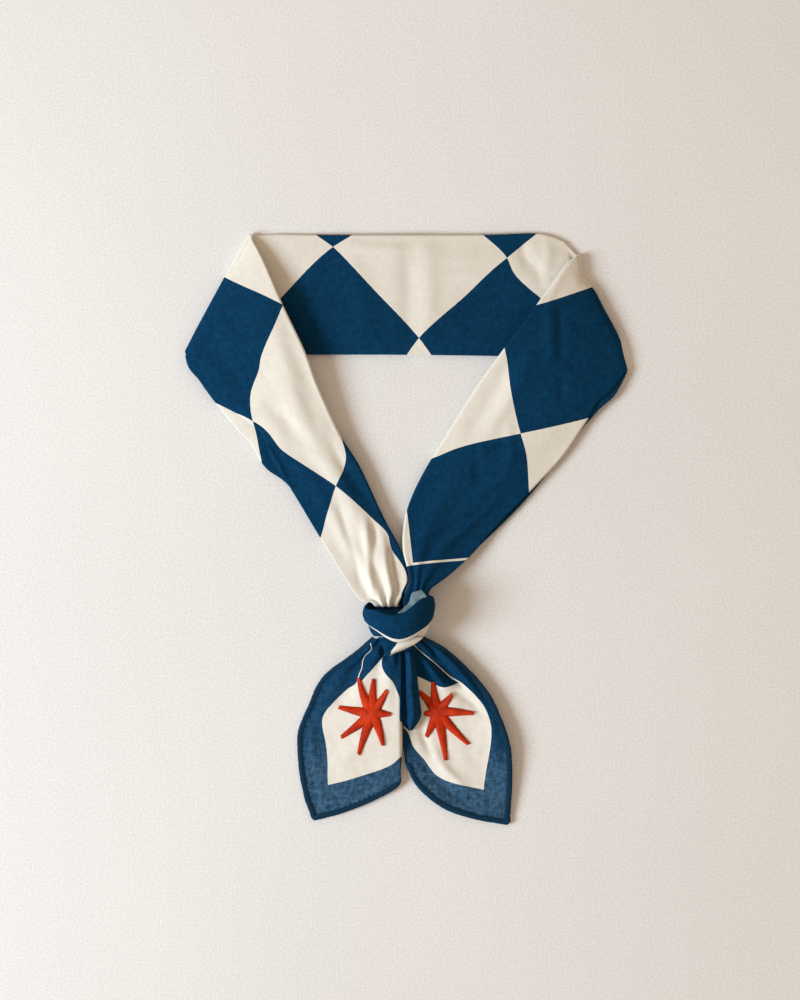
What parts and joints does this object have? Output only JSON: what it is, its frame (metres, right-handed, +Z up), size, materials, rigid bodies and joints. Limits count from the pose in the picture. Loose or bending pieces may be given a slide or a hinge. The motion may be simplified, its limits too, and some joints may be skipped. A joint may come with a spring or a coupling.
{
  "type": "neckerchief",
  "caption": "Checked cotton neckerchief, folded to a band and laid in a loop, tied in a small knot with two leaf-shaped tails that each carry an embroidered star.",
  "frame": {"origin": "on the table under the middle of the outline", "axes": "+Z up from the table, -Y towards the knot and the tails, +X to the right seen from above with the knot towards the viewer"},
  "size_m": [0.2258, 0.3056, 0.025],
  "materials": {
    "checked_cotton": "plain-woven cotton printed in cream and navy checks, matte",
    "navy_cotton": "plain-woven cotton printed navy, matte",
    "hem_cotton": "rolled and stitched cotton hem, matte",
    "red_thread": "satin-stitch embroidery thread, soft sheen"
  },
  "bodies": {
    "root": {"neck_band": "checked_cotton", "knot_wrap": "navy_cotton", "knot_core": "checked_cotton", "knot_fold": "navy_cotton", "tail_left": "checked_cotton", "tail_right": "checked_cotton", "pleat_right": "navy_cotton", "hem_left": "hem_cotton", "hem_right": "hem_cotton", "star_left": "red_thread", "star_right": "red_thread"}
  },
  "joints": []
}
